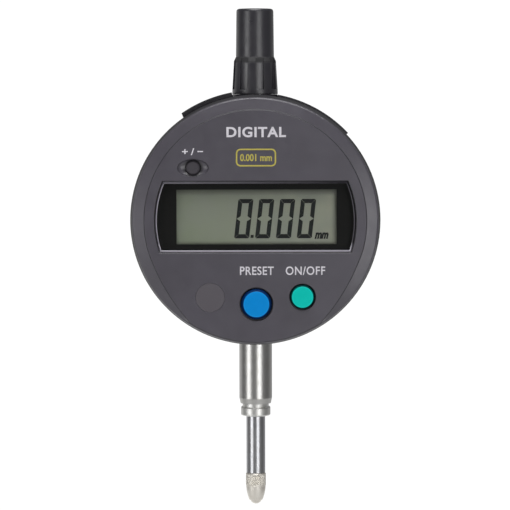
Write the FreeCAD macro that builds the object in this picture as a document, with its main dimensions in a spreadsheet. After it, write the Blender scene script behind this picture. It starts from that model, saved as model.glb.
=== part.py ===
import FreeCAD, Part
import math
import os
import re
import Sketcher

# Digital indicator with an 8 mm stem, 12.7 mm of travel and a 60 mm case.
# Millimetres. X is to the right of the reader, Y goes into the case, Z is up along the spindle.
# The origin is the middle of the stem's 14 mm clamping length.
#
# Pieces that lie in the case are drawn in the face frame: x to the right, y up, and the drawing's own z
# out of the face towards the reader, all counted from the middle of the round case. Pieces that turn about
# the spindle's axis are drawn as radius and height, with the height counted from the middle of the case too.

DOC = FreeCAD.newDocument("digital_indicator")
SHEET = DOC.addObject("Spreadsheet::Sheet", "Dims")

DIMENSIONS = {
    "round case": {
        "dial_height": 37.0,
        "case_radius": 30.0,
        "case_back_radius": 29.8,
        "rim_radius": 29.0,
        "face_radius": 26.6,
        "face_corner_y": -7.0,
        "face_foot_x": 15.5,
        "flank_radius": 50.0,
        "face_front": 14.5,
        "face_chamfer": 0.2,
        "contour_front": 14.25,
        "rim_front": 13.6,
        "rim_round": 0.55,
        "rim_round_out": 0.42,
        "rim_round_drop": 0.5,
        "parting": 10.0,
        "case_back": -7.5,
        "case_floor": -5.9,
        "wall": 1.6,
        "lip_outer": 28.3,
        "lip_inner": 27.1,
        "lip_depth": 0.7,
        "face_inside": 12.9,
    },
    "window and display": {
        "window_top": 9.5,
        "window_bottom": -7.45,
        "window_side_radius": 24.0,
        "window_chamfer": 0.2,
        "lens_gap": 0.08,
        "lens_front": 14.05,
        "lens_flange": 1.0,
        "lens_back": 12.3,
        "lens_bevel": 0.45,
        "view_left": -18.8,
        "view_right": 19.4,
        "view_top": 7.5,
        "view_bottom": -5.6,
        "mask_back": 12.05,
        "frame_right": 23.0,
        "frame_top": 10.1,
        "frame_bottom": -9.2,
        "glass_right": 21.0,
        "glass_top": 9.0,
        "glass_bottom": -7.4,
        "glass_front": 11.2,
        "glass_back": 9.9,
        "glass_play": 0.1,
        "plate_inset": 0.5,
        "plate_thickness": 0.55,
        "board_front": 8.9,
        "board_back": 7.9,
        "board_radius": 26.6,
        "board_top": 11.2,
        "ear_top": 15.0,
        "strip_width": 1.3,
        "strip_half": 18.0,
        "ear_left": -17.3,
        "ear_right": -12.9,
        "chip_height": 1.1,
        "post_x": 24.6,
        "post_y": 1.5,
        "post_low_x": -5.6,
        "post_low_y": -24.2,
        "post_radius": 1.4,
        "small_screw": 0.7,
    },
    "keys": {
        "key_travel": 0.6,
        "preset_x": 0.2,
        "preset_y": -19.8,
        "preset_top": 3.1,
        "preset_side": 3.6,
        "preset_recess": 4.05,
        "power_x": 11.2,
        "power_y": -18.1,
        "power_top": 2.57,
        "power_side": 2.85,
        "power_recess": 3.2,
        "blank_x": -10.8,
        "blank_y": -18.2,
        "blank_radius": 3.45,
        "sign_x": -14.8,
        "sign_y": 12.7,
        "sign_key": 1.7,
        "sign_front": 14.1,
        "dish_half_width": 3.75,
        "dish_half_height": 2.1,
        "dish_depth": 1.15,
        "key_front": 15.1,
        "key_slope": 0.85,
        "key_recess": 1.2,
        "key_gap": 0.15,
        "blank_depth": 0.8,
        "dome_height": 0.6,
    },
    "spindle line": {
        "stem_radius": 4.0,
        "stem_end": -45.3,
        "stem_taper": -43.95,
        "stem_shoulder": -30.05,
        "stem_root_radius": 3.75,
        "stem_top": -21.0,
        "stem_chamfer": 0.28,
        "neck_radius": 3.2,
        "ring_radius": 3.6,
        "ring_top": -46.15,
        "ring_end": -48.35,
        "ring_round": 0.35,
        "bush_inner_top": -34.0,
        "spindle_radius": 2.3,
        "bore_radius": 2.33,
        "stem_bore": 2.6,
        "spindle_low": -62.55,
        "spindle_high": 35.5,
        "stud_radius": 1.25,
        "stud_length": 5.0,
        "travel": 12.7,
        "knurl_radius": 2.45,
        "knurl_end": -65.35,
        "holder_end": -69.3,
        "holder_end_radius": 1.62,
        "taper_radius": 18.0,
        "ball_radius": 1.5,
        "ball_y": -68.75,
        "boss_radius": 3.7,
        "boss_low": 24.0,
        "boss_high": 36.0,
        "washer_height": 0.9,
        "washer_bore": 2.5,
        "stem_block_half": 6.3,
        "stem_block_low": -28.6,
        "stem_block_front": 4.7,
        "boss_block_half": 5.6,
        "boss_block_low": 22.6,
        "boss_block_high": 28.8,
        "boss_block_front": 4.9,
        "cap_seat_radius": 5.4,
        "cap_seat_low": 28.0,
        "cap_seat_top": 30.05,
    },
    "dust cap": {
        "cap_base": 30.1,
        "cap_joint": 39.05,
        "cap_top": 50.75,
        "cap_top_radius": 4.48,
        "cap_round": 0.7,
        "cap_waist_radius": 4.62,
        "skirt_top_radius": 5.1,
        "skirt_base_radius": 5.53,
        "cap_bore": 3.75,
        "cap_well": 2.9,
        "cap_well_top": 49.4,
        "flute_floor": 4.75,
        "flute_width": 2.05,
        "flute_base": 31.3,
        "flute_turn": 13.5,
    },
    "battery": {
        "tray_angle": 112.5,
        "tray_half": 6.45,
        "tray_back": 2.9,
        "tray_rim": 8.5,
        "tray_floor": 0.5,
        "cell_radius": 5.8,
        "cell_height": 5.4,
        "cell_y": 22.3,
        "cover_radius": 31.1,
        "cover_seat": 30.06,
        "cover_margin": 0.7,
        "play": 0.15,
    },
    "output socket": {
        "socket_angle": 61.4,
        "socket_half": 7.0,
        "socket_low": 19.5,
        "socket_high": 27.9,
        "socket_back": 1.5,
        "socket_front": 8.0,
        "mouth_half": 5.6,
        "mouth_low": 22.0,
        "mouth_back": 2.9,
        "mouth_front": 6.6,
        "flap_half_angle": 18.3,
        "flap_seat": 28.9,
        "flap_radius": 30.5,
        "flap_back": 0.6,
        "flap_front": 8.9,
        "pin_half": 0.2,
        "pin_length": 4.4,
    },
    "encoder and spring": {
        "carrier_low": -20.0,
        "carrier_high": -10.0,
        "carrier_half": 5.0,
        "scale_low": -20.4,
        "scale_high": 1.6,
        "scale_half": 3.5,
        "scale_back": 5.0,
        "scale_front": 5.8,
        "head_low": -7.4,
        "head_high": 1.2,
        "head_half": 5.5,
        "head_back": 6.2,
        "pin_y": -15.0,
        "pin_radius": 1.0,
        "slot_radius": 1.03,
        "rail_left": 8.0,
        "rail_right": 10.0,
        "rail_low": -20.0,
        "rail_high": 4.0,
        "rail_screw_x": 12.0,
        "rail_screw_low": -14.0,
        "rail_screw_high": -2.0,
        "arm_low": -13.9,
        "clamp_y": -12.5,
        "spring_x": -9.0,
        "spring_low": -22.4,
        "spring_high": -14.2,
        "spring_radius": 1.5,
        "wire_radius": 0.17,
        "spring_pitch": 0.62,
        "plug_radius": 0.75,
        "plug_reach": 2.2,
        "anchor_low": -24.8,
        "spring_block_low": -25.6,
    },
    "back plate": {
        "plate_radius": 21.0,
        "plate_back": -9.5,
        "lug_half": 2.5,
        "lug_hole": 3.25,
        "lug_radius": 6.0,
        "lug_centre": -17.0,
        "lug_fillet": 1.5,
        "plate_screw_at": 12.4,
    },
    "screws": {
        "pillar_x": 20.07,
        "pillar_y": 14.05,
        "pillar_radius": 2.4,
        "screw_radius": 0.95,
        "small_head": 1.15,
        "screw_hole": 1.05,
        "head_radius": 1.8,
        "head_height": 1.1,
        "head_depth": 1.4,
        "case_screw_length": 18.0,
        "counterbore": 1.95,
    },
}

row = 1
for heading, cells in DIMENSIONS.items():
    SHEET.set(f"A{row}", heading)
    row += 1
    for alias, value in cells.items():
        SHEET.set(f"A{row}", alias)
        SHEET.set(f"B{row}", str(value))
        SHEET.setAlias(f"B{row}", alias)
        row += 1
DOC.recompute()

ALIASES = {alias for cells in DIMENSIONS.values() for alias in cells}
SIGNS = [(sx, sy) for sx in (1, -1) for sy in (1, -1)]
FACE_TURN = FreeCAD.Rotation(FreeCAD.Vector(1, 0, 0), 90)
BACK_TURN = FreeCAD.Rotation(FreeCAD.Vector(1, 0, 0), -90)
RIGHT_TURN = FreeCAD.Rotation(FreeCAD.Vector(0, 1, 0), 90)
OUT_OF_FACE = FreeCAD.Vector(0, 0, 1)
PIECES = {}


# ---------------------------------------------------------------- small helpers


def bound(formula):
    """A formula in the sheet's names, as an expression other objects can hold."""
    return re.sub(r"[a-z_]+", lambda m: "Dims." + m[0] if m[0] in ALIASES else m[0], str(formula))


def number(formula):
    """The present value of a formula."""
    return float(SHEET.evalExpression(bound(formula)))


def bind(thing, **sizes):
    """Bind properties of an object to formulas."""
    for name, formula in sizes.items():
        thing.setExpression(name, bound(formula))


def place(thing, x="0", y="0", z="0", turn=None):
    """Give an object its Placement, with the position bound to the sheet."""
    position = FreeCAD.Vector(number(x), number(y), number(z))
    thing.Placement = FreeCAD.Placement(position, turn or FreeCAD.Rotation())
    for axis, formula in zip("xyz", (x, y, z)):
        thing.setExpression(f"Placement.Base.{axis}", bound(formula))
    return thing


def on_face(thing, x="0", y="0", angle=90.0):
    """Place an object drawn in the face frame, turned so that its own y points at the given angle."""
    turn = FACE_TURN.multiply(FreeCAD.Rotation(OUT_OF_FACE, angle - 90.0))
    return place(thing, x, "0", f"dial_height + {y}", turn)


def on_axis(thing, x="0", y="0"):
    """Place an object drawn as radius and height; x and y move its axis off the spindle's."""
    return place(thing, x, y, "dial_height")


def keep(name, thing):
    """Register an object as the sub-part of that name."""
    thing.Label = name
    PIECES[name] = thing
    return thing


# ---------------------------------------------------------------- sketches and features


def sketch_on(body, name, role, lift="0"):
    """An empty sketch on one of the body's own origin planes, raised along the plane's normal."""
    sketch = body.newObject("Sketcher::SketchObject", name)
    plane = next(f for f in body.Origin.OriginFeatures if f.Role == role)
    sketch.AttachmentSupport = [(plane, "")]
    sketch.MapMode = "FlatFace"
    sketch.setExpression("AttachmentOffset.Base.z", bound(lift))
    return sketch


def hold(sketch, kind, *where, formula):
    """Add a dimension to a sketch and bind it to a formula."""
    index = sketch.addConstraint(Sketcher.Constraint(kind, *where, number(formula)))
    sketch.setExpression(f"Constraints[{index}]", bound(formula))


def hold_point(sketch, edge, end, x, y):
    """Dimension one end of an edge from the sketch's origin."""
    hold(sketch, "DistanceX", -1, 1, edge, end, formula=x)
    hold(sketch, "DistanceY", -1, 1, edge, end, formula=y)


def arc_between(start, end, radius):
    """The short arc from start to end that bulges to the right of that direction."""
    half = (end - start) / 2
    left = FreeCAD.Vector(-half.y, half.x, 0).normalize()
    centre = start + half + left * math.sqrt(max(0.0, radius**2 - half.Length**2))
    angles = [math.atan2(p.y - centre.y, p.x - centre.x) for p in (start, end)]
    return Part.ArcOfCircle(Part.Circle(centre, OUT_OF_FACE, radius), *angles)


def outline(body, name, corners, role="XY_Plane", lift="0", hole=None):
    """A closed outline, anticlockwise, perhaps with a second outline as a hole in it.

    A corner is (x, y), or (x, y, radius) where an arc leads to the next corner, or (x, y, radius, "inwards")
    where that arc is hollow.
    """
    sketch = sketch_on(body, name, role, lift)
    add_loop(sketch, corners)
    if hole:
        add_loop(sketch, hole)
    return sketch


def add_loop(sketch, corners):
    first = len(sketch.Geometry)
    points = [FreeCAD.Vector(number(c[0]), number(c[1]), 0) for c in corners]
    tails = []
    for i, corner in enumerate(corners):
        start = points[i]
        end = points[(i + 1) % len(points)]
        inwards = len(corner) == 4
        tails.append(2 if inwards else 1)
        if inwards:
            sketch.addGeometry(arc_between(end, start, number(corner[2])))
        elif len(corner) == 3:
            sketch.addGeometry(arc_between(start, end, number(corner[2])))
        else:
            sketch.addGeometry(Part.LineSegment(start, end))
    for i, corner in enumerate(corners):
        j = (i + 1) % len(points)
        joint = Sketcher.Constraint("Coincident", first + i, 3 - tails[i], first + j, tails[j])
        sketch.addConstraint(joint)
        hold_point(sketch, first + i, tails[i], corner[0], corner[1])
        if len(corner) > 2:
            hold(sketch, "Radius", first + i, formula=corner[2])


def add_circle(sketch, x, y, radius):
    centre = FreeCAD.Vector(number(x), number(y), 0)
    index = sketch.addGeometry(Part.Circle(centre, OUT_OF_FACE, number(radius)))
    hold_point(sketch, index, 3, x, y)
    hold(sketch, "Radius", index, formula=radius)


def rectangle(left, bottom, right, top):
    return [(left, bottom), (right, bottom), (right, top), (left, top)]


def new_body(name):
    return DOC.addObject("PartDesign::Body", "Body_" + name)


def pad(body, sketch, length):
    feature = body.newObject("PartDesign::Pad", "Pad_" + sketch.Name)
    feature.Profile = sketch
    bind(feature, Length=length)
    sketch.Visibility = False
    return feature


def pocket(body, sketch, depth):
    """Cut downwards from the sketch, against the drawing's own z."""
    feature = body.newObject("PartDesign::Pocket", "Pocket_" + sketch.Name)
    feature.Profile = sketch
    bind(feature, Length=depth)
    return feature


def drill(body, name, circles, top, depth):
    """Round pockets, each (x, y, radius), cut downwards from the height top."""
    sketch = sketch_on(body, name, "XY_Plane", top)
    for circle in circles:
        add_circle(sketch, *circle)
    return pocket(body, sketch, depth)


def slab(name, corners, low, high, body=None, hole=None, role="XY_Plane"):
    """A plate with the given outline, from the height low to high along the plane's normal."""
    body = body or new_body(name)
    pad(body, outline(body, "Outline_" + name, corners, role, low, hole), f"({high}) - ({low})")
    return body


def disc(name, circles, low, high, body=None):
    """Round pads on one body; a circle inside another is a hole."""
    body = body or new_body(name)
    sketch = sketch_on(body, "Circles_" + name, "XY_Plane", low)
    for circle in circles:
        add_circle(sketch, *circle)
    pad(body, sketch, f"({high}) - ({low})")
    return body


def turned(name, profile, body=None):
    """A solid of revolution about the drawing's z, from a closed profile of (radius, height) corners."""
    body = body or new_body(name)
    sketch = outline(body, "Profile_" + name, profile, role="XZ_Plane")
    feature = body.newObject("PartDesign::Revolution", "Turn_" + name)
    feature.Profile = sketch
    feature.ReferenceAxis = (sketch, ["V_Axis"])
    feature.Angle = 360.0
    return body


def edges_where(body, test):
    """The names of a body's edges that pass a test."""
    DOC.recompute()
    shape = body.Tip.Shape
    return [f"Edge{i + 1}" for i, edge in enumerate(shape.Edges) if test(edge)]


def dress(body, kind, size, test):
    """Fillet or chamfer the edges that pass a test."""
    names = edges_where(body, test)
    base = body.Tip
    feature = body.newObject("PartDesign::" + kind, kind + "_" + body.Name)
    feature.Base = (base, names)
    bind(feature, **{"Radius" if kind == "Fillet" else "Size": size})
    return feature


def combine(kind, name, first, *others):
    """A cut, or a fusion, of placed objects."""
    if kind == "Cut":
        result = DOC.addObject("Part::Cut", "Cut_" + name)
        result.Base = first
        result.Tool = others[0] if len(others) == 1 else combine("MultiFuse", name + "_tools", *others)
        return result
    result = DOC.addObject("Part::" + kind, kind + "_" + name)
    result.Shapes = [first, *others]
    return result


def box(name, x, y, z, size_x, size_y, size_z):
    """A box in the part's own frame, from its lowest corner."""
    result = DOC.addObject("Part::Box", "Box_" + name)
    bind(result, Length=size_x, Width=size_y, Height=size_z)
    return place(result, x, y, z)


def rod(name, radius, length, x, y, z, turn=None):
    """A cylinder in the part's own frame, from its base."""
    result = DOC.addObject("Part::Cylinder", "Rod_" + name)
    bind(result, Radius=radius, Height=length)
    return place(result, x, y, z, turn)


def face_box(name, corners, low, high):
    """A box given by its sides (left, bottom, right, top) in the face frame, and its two heights."""
    left, bottom, right, top = corners
    width = f"({right}) - ({left})"
    height = f"({top}) - ({bottom})"
    return box(name, left, f"-({high})", f"dial_height + {bottom}", width, f"({high}) - ({low})", height)


def group(name, members):
    """Like pieces in one node, each a separate solid."""
    result = DOC.addObject("Part::Compound", "Group_" + name)
    result.Links = members
    return result


# ---------------------------------------------------------------- the two shells

PILLARS = [(f"{sx} * pillar_x", f"{sy} * pillar_y") for sx, sy in SIGNS]
PLATE_SCREWS = [(f"{sx} * plate_screw_at", f"{sy} * plate_screw_at") for sx, sy in SIGNS]
BOARD_POSTS = [("post_x", "post_y"), ("-post_x", "post_y"), ("post_low_x", "post_low_y")]
RAIL_SCREWS = [("rail_screw_x", "rail_screw_low"), ("rail_screw_x", "rail_screw_high")]


def face_contour(name, body, lift):
    """The raised face: round above, and flanks that run down into the rim."""
    corner_x = "sqrt(face_radius^2 - face_corner_y^2)"
    foot_y = "-sqrt(rim_radius^2 - face_foot_x^2)"
    corners = [
        (corner_x, "face_corner_y", "face_radius"),
        ("0", "face_radius", "face_radius"),
        (f"-{corner_x}", "face_corner_y", "flank_radius"),
        ("-face_foot_x", foot_y, "rim_radius"),
        ("face_foot_x", foot_y, "flank_radius"),
    ]
    return outline(body, name, corners, lift=lift)


def rim_contour(name, body, lift):
    """The rim circle, split at the points that face the contour's own corners."""
    corner_x = "sqrt(face_radius^2 - face_corner_y^2) * rim_radius / face_radius"
    corner_y = "face_corner_y * rim_radius / face_radius"
    foot_y = "-sqrt(rim_radius^2 - face_foot_x^2)"
    corners = [
        (corner_x, corner_y, "rim_radius"),
        ("0", "rim_radius", "rim_radius"),
        (f"-{corner_x}", corner_y, "rim_radius"),
        ("-face_foot_x", foot_y, "rim_radius"),
        ("face_foot_x", foot_y, "rim_radius"),
    ]
    return outline(body, name, corners, lift=lift)


def window_outline(margin="0"):
    """The window: straight above and below, with ends on a circle about the middle of the case."""
    low = f"window_bottom - ({margin})"
    high = f"window_top + {margin}"
    bulge = f"window_side_radius + {margin}"
    low_x = f"sqrt(({bulge})^2 - ({low})^2)"
    high_x = f"sqrt(({bulge})^2 - ({high})^2)"
    return [(f"-{low_x}", low), (low_x, low, bulge), (high_x, high), (f"-{high_x}", high, bulge)]


def front_case():
    body = new_body("front_case")
    shell = [
        ("0", "face_inside"),
        ("lip_inner - 0.6", "face_inside"),
        ("lip_inner - 0.6", "parting + wall"),
        ("lip_inner", "parting + wall"),
        ("lip_inner", "parting - lip_depth"),
        ("lip_outer", "parting - lip_depth"),
        ("lip_outer", "parting"),
        ("case_radius", "parting"),
        ("rim_radius + rim_round_out", "rim_front - rim_round_drop", "rim_round"),
        ("rim_radius", "rim_front"),
        ("0", "rim_front"),
    ]
    turned("front_shell", shell, body)
    slope = body.newObject("PartDesign::AdditiveLoft", "Slope")
    slope.Profile = rim_contour("Rim_line", body, "rim_front")
    slope.Sections = [face_contour("Slope_line", body, "contour_front")]
    slope.Ruled = True
    pad(body, face_contour("Face_line", body, "contour_front"), "face_front - contour_front")
    at_face = number("face_front")
    dress(body, "Chamfer", "face_chamfer", lambda edge: edge.BoundBox.ZMin > at_face - 0.01)
    disc("bosses", [(x, y, "pillar_radius - 0.2") for x, y in PILLARS], "parting - 0.6", "rim_front", body)
    pocket(body, outline(body, "Window_hole", window_outline(), lift="face_front"), "2 * wall")
    reach = number("window_side_radius") + 1

    def on_window_rim(edge):
        span = edge.BoundBox
        return span.ZMin > at_face - 0.01 and span.YMax < 10 and span.YMin > -8 and abs(span.Center.x) < reach

    dress(body, "Chamfer", "window_chamfer", on_window_rim)
    drill(body, "Preset_recess", [("preset_x", "preset_y", "preset_recess")], "face_front", "key_recess")
    drill(body, "Preset_hole", [("preset_x", "preset_y", "preset_side + key_gap")], "face_front", "2 * wall")
    drill(body, "Power_recess", [("power_x", "power_y", "power_recess")], "face_front", "key_recess")
    drill(body, "Power_hole", [("power_x", "power_y", "power_side + key_gap")], "face_front", "2 * wall")
    drill(body, "Blank_recess", [("blank_x", "blank_y", "blank_radius + 0.05")], "face_front", "blank_depth")
    drill(body, "Sign_hole", [("sign_x", "sign_y", "sign_key + key_gap")], "face_front", "2 * wall")
    screws = [(x, y, "screw_radius") for x, y in PILLARS]
    drill(body, "Boss_bores", screws, "rim_front", "rim_front - parting + 1")
    dish = body.newObject("PartDesign::SubtractiveEllipsoid", "Sign_dish")
    bind(dish, Radius1="dish_depth", Radius2="dish_half_width", Radius3="dish_half_height")
    for axis, formula in zip("xyz", ("sign_x", "sign_y", "face_front")):
        dish.setExpression(f"Placement.Base.{axis}", bound(formula))
    keep("front_case", on_face(body))


def radial_block(name, half, low, high, back, front, angle):
    """A block that lies along a radius of the case."""
    return on_face(slab(name, rectangle(f"-({half})", low, half, high), back, front), angle=angle)


def flap_segment(name, half_angle, inner, outer, margin):
    """A piece of a ring about the middle of the case, centred on the output socket's direction."""
    sine = f"sin({half_angle})"
    cosine = f"cos({half_angle})"
    corners = [
        (f"({outer}) * {sine}", f"({outer}) * {cosine}", outer),
        (f"-({outer}) * {sine}", f"({outer}) * {cosine}"),
        (f"-({inner}) * {sine}", f"({inner}) * {cosine}", inner, "inwards"),
        (f"({inner}) * {sine}", f"({inner}) * {cosine}"),
    ]
    return slab(name, corners, f"flap_back - {margin}", f"flap_front + {margin}")


def rear_case():
    body = new_body("rear_case")
    shell = [
        ("0", "case_back"),
        ("case_back_radius - 0.9", "case_back"),
        ("case_back_radius", "case_back + 0.9"),
        ("case_radius", "parting"),
        ("lip_outer + 0.08", "parting"),
        ("lip_outer + 0.08", "case_floor"),
        ("0", "case_floor"),
    ]
    turned("rear_shell", shell, body)
    rooted = "case_floor - 0.1"
    disc("pillars", [(x, y, "pillar_radius") for x, y in PILLARS], rooted, "parting - 0.65", body)
    disc("posts", [(x, y, "post_radius") for x, y in BOARD_POSTS], rooted, "board_back", body)
    stem_block = rectangle("-stem_block_half", "stem_block_low", "stem_block_half", "stem_top")
    slab("stem_block", stem_block, rooted, "stem_block_front", body)
    boss_block = rectangle("-boss_block_half", "boss_block_low", "boss_block_half", "boss_block_high")
    slab("boss_block", boss_block, rooted, "boss_block_front", body)
    spring_block = rectangle("spring_x - 2", "spring_block_low", "spring_x + 2", "spring_low - 0.3")
    slab("spring_block", spring_block, rooted, "2", body)
    screws = [(x, y, "screw_hole") for x, y in PILLARS]
    drill(body, "Pillar_bores", screws, "parting", "parting - case_back + 1")
    heads = [(x, y, "counterbore") for x, y in PILLARS]
    drill(body, "Head_recesses", heads, "case_back + head_depth", "head_depth + 1")
    floor = "case_floor + 0.1"
    drill(body, "Plate_bores", [(x, y, "screw_radius") for x, y in PLATE_SCREWS], floor, "wall + 1")
    drill(body, "Post_bores", [(x, y, "small_screw") for x, y in BOARD_POSTS], "board_back", "5")
    drill(body, "Rail_bores", [(x, y, "small_screw") for x, y in RAIL_SCREWS], floor, "1.4")
    cap_seat_height = "cap_seat_top - cap_seat_low"
    cap_seat = rod("cap_seat", "cap_seat_radius", cap_seat_height, "0", "0", "dial_height + cap_seat_low")
    solid = combine("MultiFuse", "rear_solid", on_face(body), cap_seat)
    tray = number("tray_angle")
    socket = number("socket_angle")
    flap_reach = "flap_half_angle + 0.25"
    flap_way = flap_segment("flap_way", flap_reach, "flap_seat - 0.1", "flap_radius + 1", "play")
    tools = [
        rod("stem_seat", "stem_root_radius", "12", "0", "0", "dial_height - 32"),
        rod("boss_seat", "boss_radius", "14", "0", "0", "dial_height + 20"),
        rod("anchor_seat", "plug_radius", "plug_reach + 0.1", "spring_x", "0", "dial_height + anchor_low"),
        radial_block("tray_way", "tray_half + play", "15", "32", "tray_back - play", "tray_rim + 0.75", tray),
        radial_block("mouth_way", "socket_half", "18", "29", "socket_back", "socket_front", socket),
        on_face(flap_way, angle=socket),
    ]
    keep("rear_case", combine("Cut", "rear_case", solid, *tools))


def blank_key():
    body = disc("blank_key", [("0", "0", "blank_radius")], "face_front - blank_depth", "face_front")
    keep("blank_key", on_face(body, "blank_x", "blank_y"))


# ---------------------------------------------------------------- window, display and board


def window_lens():
    body = slab("lens_pane", window_outline("-lens_gap"), "face_inside", "lens_front")
    slab("lens_edge", window_outline("lens_flange"), "lens_back", "face_inside", body)
    front = number("lens_front")
    dress(body, "Chamfer", "lens_bevel", lambda edge: edge.BoundBox.ZMin > front - 0.01)
    keep("window_lens", on_face(body))


def lcd_mask():
    view = rectangle("view_left", "view_bottom", "view_right", "view_top")
    body = slab("lcd_mask", window_outline("lens_flange - 0.2"), "mask_back", "lens_back", hole=view)
    keep("lcd_mask", on_face(body))


def lcd_frame():
    outer = rectangle("-frame_right", "frame_bottom", "frame_right", "frame_top")
    half = "glass_right + glass_play"
    inner = rectangle(f"-({half})", "glass_bottom - glass_play", half, "glass_top + glass_play")
    keep("lcd_frame", on_face(slab("lcd_frame", outer, "board_front", "mask_back", hole=inner)))


def display():
    pane = ("-glass_right", "glass_bottom", "glass_right", "glass_top")
    keep("lcd_glass", face_box("lcd_glass", pane, "glass_back", "glass_front"))
    plate_half = "glass_right - plate_inset"
    plate_low = "glass_bottom + strip_width + 0.2"
    plate_high = "glass_top - strip_width - 0.2"
    plate = (f"-({plate_half})", plate_low, plate_half, plate_high)
    plate_front = "glass_back - 0.05"
    keep("lcd_reflector", face_box("lcd_reflector", plate, f"{plate_front} - plate_thickness", plate_front))
    low = ("-strip_half", "glass_bottom", "strip_half", "glass_bottom + strip_width")
    high = ("-strip_half", "glass_top - strip_width", "strip_half", "glass_top")
    strips = [face_box("strip_low", low, "board_front", "glass_back")]
    strips.append(face_box("strip_high", high, "board_front", "glass_back"))
    keep("zebra_strips", group("zebra_strips", strips))


def main_pcb():
    edge_x = "sqrt(board_radius^2 - board_top^2)"
    corners = [
        (edge_x, "board_top"),
        ("ear_right", "board_top"),
        ("ear_right - 1.2", "ear_top"),
        ("ear_left", "ear_top"),
        ("ear_left", "board_top"),
        (f"-{edge_x}", "board_top", "board_radius"),
        ("0", "-board_radius", "board_radius"),
    ]
    body = slab("main_pcb", corners, "board_back", "board_front")
    lower_pillars = [(x, y, "pillar_radius + 0.2") for x, y in PILLARS if y.startswith("-")]
    drill(body, "Pillar_holes", lower_pillars, "board_front", "2")
    drill(body, "Post_holes", [(x, y, "small_screw + 0.1") for x, y in BOARD_POSTS], "board_front", "2")
    keep("main_pcb", on_face(body))


def pcb_chips():
    chips = {
        "processor": ("9", "-2", "17", "6"),
        "memory": ("11", "-11", "15", "-6.5"),
        "crystal": ("-16", "-10", "-13.6", "-4"),
        "regulator": ("-15", "1", "-12", "4"),
    }
    back = "board_back - chip_height"
    members = [face_box(name, corners, back, "board_back") for name, corners in chips.items()]
    keep("pcb_chips", group("pcb_chips", members))


def key_domes():
    """Snap domes: a shallow shell on the board under each key."""
    sheet = "0.12"
    members = []
    for key, radius in (("preset", "2"), ("power", "2"), ("sign", "1.35")):
        rise = "dome_height"
        outer = f"(({radius})^2 + {rise}^2) / (2 * {rise})"
        inner = f"(({radius} - {sheet})^2 + ({rise} - {sheet})^2) / (2 * ({rise} - {sheet}))"
        profile = [
            (f"{radius} - {sheet}", "board_front"),
            (radius, "board_front", outer),
            ("0", f"board_front + {rise}"),
            ("0", f"board_front + {rise} - {sheet}", inner, "inwards"),
        ]
        members.append(on_face(turned(f"{key}_dome", profile), f"{key}_x", f"{key}_y"))
    keep("key_domes", group("key_domes", members))


# ---------------------------------------------------------------- keys


def round_key(name, top, side):
    """A key with a flat top, a sloped edge, a flange behind the face and a plunger over its dome."""
    foot = "board_front + dome_height + key_travel + 0.05"
    seat = "face_inside - 0.2"
    profile = [
        ("0", foot),
        ("1.4", foot),
        ("1.4", f"{seat} - 0.6"),
        (f"{side} + 0.8", f"{seat} - 0.6"),
        (f"{side} + 0.8", seat),
        (side, seat),
        (side, "key_front - key_slope"),
        (top, "key_front"),
        ("0", "key_front"),
    ]
    body = turned(name, profile)
    front = number("key_front")
    dress(body, "Fillet", "0.18", lambda edge: edge.BoundBox.ZMin > front - 0.01 and edge.Closed)
    return body


def keys():
    preset = round_key("preset_key", "preset_top", "preset_side")
    keep("preset_key", on_face(preset, "preset_x", "preset_y"))
    power = round_key("power_key", "power_top", "power_side")
    keep("power_key", on_face(power, "power_x", "power_y"))
    foot = "board_front + dome_height + key_travel + 0.05"
    seat = "face_inside - 0.2"
    profile = [
        ("0", foot),
        ("1", foot),
        ("1", f"{seat} - 0.6"),
        ("sign_key + 0.35", f"{seat} - 0.6"),
        ("sign_key + 0.35", seat),
        ("sign_key", seat),
        ("sign_key", "sign_front - 0.3"),
        ("sign_key - 0.35", "sign_front"),
        ("0", "sign_front"),
    ]
    keep("sign_key", on_face(turned("sign_key", profile), "sign_x", "sign_y"))


# ---------------------------------------------------------------- stem, bushes and spindle


def stem():
    profile = [
        ("neck_radius", "stem_end"),
        ("stem_radius - stem_chamfer", "stem_end"),
        ("stem_radius", "stem_taper"),
        ("stem_radius", "stem_shoulder"),
        ("stem_root_radius", "stem_shoulder"),
        ("stem_root_radius", "stem_top"),
        ("stem_bore", "stem_top"),
        ("stem_bore", "bush_inner_top"),
        ("neck_radius", "bush_inner_top"),
    ]
    keep("stem", on_axis(turned("stem", profile)))


def lower_bush():
    profile = [
        ("bore_radius", "ring_end"),
        ("ring_radius", "ring_end"),
        ("ring_radius", "ring_top"),
        ("neck_radius", "ring_top"),
        ("neck_radius", "bush_inner_top"),
        ("bore_radius", "bush_inner_top"),
    ]
    body = turned("lower_bush", profile)
    ring = number("ring_radius")

    def on_ring_edge(edge):
        return edge.Closed and abs(edge.BoundBox.XMax - ring) < 0.01

    dress(body, "Fillet", "ring_round", on_ring_edge)
    keep("lower_bush", on_axis(body))


def upper_bush():
    profile = [
        ("bore_radius", "boss_low"),
        ("boss_radius", "boss_low"),
        ("boss_radius", "boss_high - 0.4"),
        ("boss_radius - 0.4", "boss_high"),
        ("bore_radius", "boss_high"),
    ]
    keep("upper_bush", on_axis(turned("upper_bush", profile)))


def bumper_washer():
    profile = rectangle("washer_bore", "stem_top", "stem_root_radius - 0.05", "stem_top + washer_height")
    keep("bumper_washer", on_axis(turned("bumper_washer", profile)))


def spindle():
    profile = [
        ("stud_radius + 0.02", "spindle_low"),
        ("spindle_radius - 0.15", "spindle_low"),
        ("spindle_radius", "spindle_low + 0.15"),
        ("spindle_radius", "spindle_high - 0.4"),
        ("spindle_radius - 0.4", "spindle_high"),
        ("0", "spindle_high"),
        ("0", "spindle_low + stud_length + 0.5"),
        ("stud_radius + 0.02", "spindle_low + stud_length + 0.2"),
    ]
    keep("spindle", on_axis(turned("spindle", profile)))


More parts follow.
